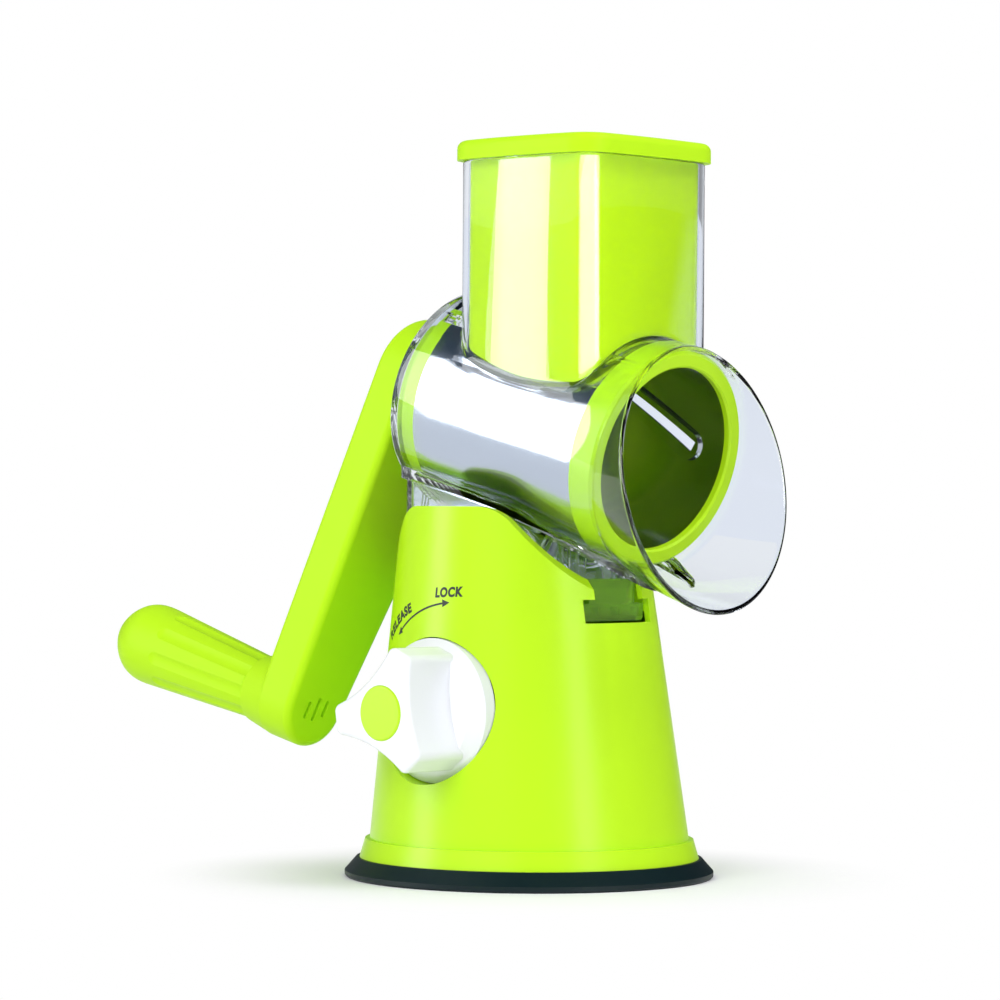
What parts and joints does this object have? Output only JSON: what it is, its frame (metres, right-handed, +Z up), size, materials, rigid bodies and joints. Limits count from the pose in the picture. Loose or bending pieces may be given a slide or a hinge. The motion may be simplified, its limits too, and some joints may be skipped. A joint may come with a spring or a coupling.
{
  "type": "rotary drum shredder",
  "caption": "Hand-cranked rotary shredder on a suction base: a slotted steel drum turns in a clear housing under an upright hopper with a pusher, and sheds through a bell mouth.",
  "frame": {"origin": "centre of the foot's underside, on the surface it stands on", "axes": "+Z up, +X towards the mouth the food leaves by, -X towards the crank, -Y towards the lock knob"},
  "size_m": [0.2758, 0.1507, 0.2781],
  "materials": {
    "lime_plastic": "gloss",
    "clear_plastic": "clear, gloss",
    "white_plastic": "gloss",
    "grey_plastic": "matte",
    "dark_rubber": "satin",
    "drum_steel": "polished",
    "screw_steel": "plain"
  },
  "bodies": {
    "base": {"base_housing": "lime_plastic", "rubber_foot": "dark_rubber", "suction_membrane": "dark_rubber", "mechanism_frame": "grey_plastic", "base_screws": "screw_steel", "feed_hopper": "clear_plastic", "drum_barrel": "clear_plastic", "barrel_pedestal": "clear_plastic", "axle_bush": "grey_plastic"},
    "latch": {"latch_tab": "clear_plastic"},
    "knob": {"lock_knob": "white_plastic", "knob_cap": "lime_plastic", "knob_screw": "screw_steel", "cam_shaft": "screw_steel", "lift_cam": "grey_plastic"},
    "pull": {"pull_rod": "grey_plastic", "pull_plate": "grey_plastic"},
    "crank": {"crank_arm_front": "lime_plastic", "crank_arm_back": "lime_plastic", "drive_shaft": "screw_steel", "arm_screw": "screw_steel", "grip_pin": "screw_steel"},
    "grip": {"grip": "lime_plastic"},
    "drum": {"drum_shell": "drum_steel", "front_collar": "lime_plastic", "rear_hub": "lime_plastic"},
    "pusher": {"pusher_body": "lime_plastic", "pusher_cap": "lime_plastic"}
  },
  "joints": [
    {"name": "latch_press", "type": "hinge", "parent": "base", "child": "latch", "pos_m": [0.0396, 0, 0.1125], "axis": [0, 1, 0], "range_deg": [0, 10], "stiffness_Nm_per_rad": 0.1},
    {"name": "knob_turn", "type": "hinge", "parent": "base", "child": "knob", "pos_m": [-0.00198, 0, 0.0647], "axis": [0, 1, 0], "range_deg": [0, 90]},
    {"name": "suction_lift", "type": "slide", "parent": "base", "child": "pull", "axis": [0, 0, 1], "range_m": [0, 0.004], "deforming": ["suction_membrane"]},
    {"name": "crank_turn", "type": "hinge", "parent": "base", "child": "crank", "pos_m": [0, 0, 0.17545], "axis": [0.9705, 0, -0.2409], "continuous": true},
    {"name": "grip_spin", "type": "hinge", "parent": "crank", "child": "grip", "pos_m": [-0.10316, -0.0405, 0.06869], "axis": [0.9705, 0, -0.2409], "continuous": true},
    {"name": "drum_out", "type": "slide", "parent": "crank", "child": "drum", "axis": [0.9705, 0, -0.2409], "range_m": [0, 0.12]},
    {"name": "pusher_lift", "type": "slide", "parent": "base", "child": "pusher", "axis": [0, 0, 1], "range_m": [0, 0.08]}
  ],
  "couplings": [
    {"joint": "suction_lift", "follows": "knob_turn", "m_per_rad": 0.0025464}
  ]
}
